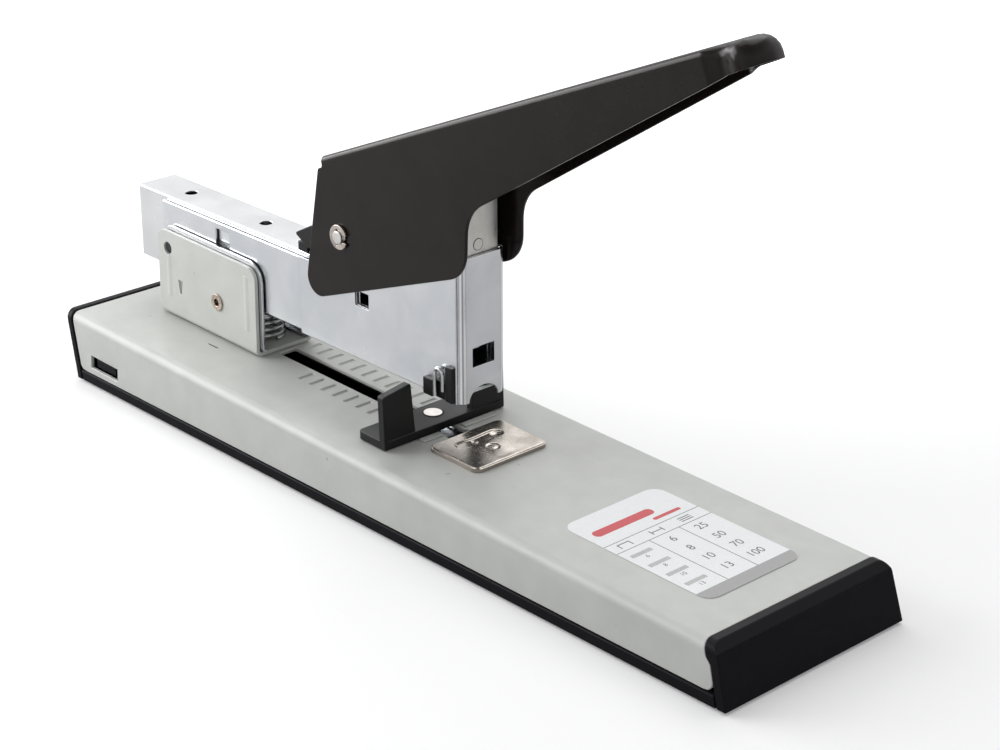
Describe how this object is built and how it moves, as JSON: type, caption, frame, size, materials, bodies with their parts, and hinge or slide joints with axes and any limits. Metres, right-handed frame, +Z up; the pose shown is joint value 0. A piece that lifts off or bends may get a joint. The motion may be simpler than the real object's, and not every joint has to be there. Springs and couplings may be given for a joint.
{
  "type": "desk stapler",
  "caption": "Heavy-duty desk stapler: long low sheet-metal base with anvil and sliding paper guide, hinged magazine arm and a press handle that drives the staple.",
  "frame": {"origin": "on the floor under the middle of the base", "axes": "+X from the bracket end to the front cap with the label, +Y from the near long side to the far one, +Z up"},
  "size_m": [0.286, 0.0686, 0.1575],
  "materials": {
    "grey_paint": "satin grey enamel",
    "black_paint": "satin black enamel",
    "zinc_steel": "bright zinc plate",
    "bare_steel": "ground steel",
    "nickel": "nickel plate",
    "spring_steel": "bright spring wire",
    "copper": "coppered steel",
    "black_plastic": "fine matt moulding",
    "rubber": "soft black rubber",
    "label_film": "printed film with plain rules and numbers"
  },
  "bodies": {
    "base": {"base_cover": "grey_paint", "front_cap": "black_plastic", "rear_cap": "black_plastic", "base_tray": "black_plastic", "foot_rear_far": "rubber", "foot_rear_near": "rubber", "foot_front_far": "rubber", "foot_front_near": "rubber", "base_screw_rear_far": "bare_steel", "base_screw_rear_near": "bare_steel", "base_screw_front_far": "bare_steel", "base_screw_front_near": "bare_steel", "base_frame": "zinc_steel", "label_plate": "label_film", "anvil_plate": "nickel", "anvil_block": "bare_steel", "anvil_rivet": "nickel", "bracket": "grey_paint", "bracket_liner": "zinc_steel", "eyelet_far": "copper", "eyelet_near": "copper", "bracket_screw_rear_far": "bare_steel", "bracket_screw_rear_near": "bare_steel", "bracket_screw_front_far": "bare_steel", "bracket_screw_front_near": "bare_steel", "return_spring": "spring_steel"},
    "arm": {"magazine_rail": "zinc_steel", "arm_frame": "zinc_steel", "head_plate": "zinc_steel", "hinge_stud_far": "bare_steel", "hinge_stud_near": "bare_steel", "staple_core": "zinc_steel", "staple_strip": "spring_steel", "latch_pin": "bare_steel", "pivot_bush": "bare_steel", "handle_spring": "spring_steel", "throat_holder": "black_plastic", "throat_spring": "spring_steel"},
    "magazine": {"inner_channel": "zinc_steel", "magazine_end": "black_plastic", "pusher_rod": "spring_steel", "pusher_spring": "spring_steel"},
    "pusher": {"pusher": "black_plastic"},
    "driver": {"driver_blade": "bare_steel", "driver_carrier": "bare_steel", "driver_rivet": "bare_steel"},
    "handle": {"handle": "black_paint", "drive_lug": "bare_steel", "drive_pin": "bare_steel", "handle_pivot_pin": "spring_steel", "pivot_clip_far": "nickel", "pivot_clip_near": "nickel"},
    "latch": {"release_latch": "black_plastic"},
    "guide": {"paper_guide": "black_plastic", "guide_rivet": "nickel", "guide_clamp": "zinc_steel"}
  },
  "joints": [
    {"name": "arm_hinge", "type": "hinge", "parent": "base", "child": "arm", "pos_m": [-0.1164, 0, 0.0446], "axis": [0, 1, 0], "range_deg": [0, 5.2], "stiffness_Nm_per_rad": 3, "springref_deg": -14.32, "deforming": ["return_spring"]},
    {"name": "handle_hinge", "type": "hinge", "parent": "arm", "child": "handle", "pos_m": [-0.0297, 0, 0.0716], "axis": [0, 1, 0], "range_deg": [0, 23.7], "stiffness_Nm_per_rad": 0.6, "springref_deg": -28.65, "deforming": ["handle_spring"]},
    {"name": "driver_slide", "type": "slide", "parent": "arm", "child": "driver", "axis": [0, 0, -1], "range_m": [0, 0.0174]},
    {"name": "magazine_slide", "type": "slide", "parent": "arm", "child": "magazine", "axis": [1, 0, 0], "range_m": [-0.09, 0]},
    {"name": "pusher_slide", "type": "slide", "parent": "magazine", "child": "pusher", "axis": [1, 0, 0], "range_m": [-0.05, 0], "stiffness_N_per_m": 40, "springref_m": 0.03, "deforming": ["pusher_spring"]},
    {"name": "latch_hinge", "type": "hinge", "parent": "arm", "child": "latch", "pos_m": [-0.0402, 0, 0.066], "axis": [0, 1, 0], "range_deg": [0, 15], "stiffness_Nm_per_rad": 0.05, "springref_deg": -17.19},
    {"name": "guide_slide", "type": "slide", "parent": "base", "child": "guide", "axis": [0.9998, 0, -0.0178], "range_m": [-0.06, 0]}
  ],
  "couplings": [
    {"joint": "driver_slide", "follows": "handle_hinge", "m_per_rad": 0.042065}
  ]
}
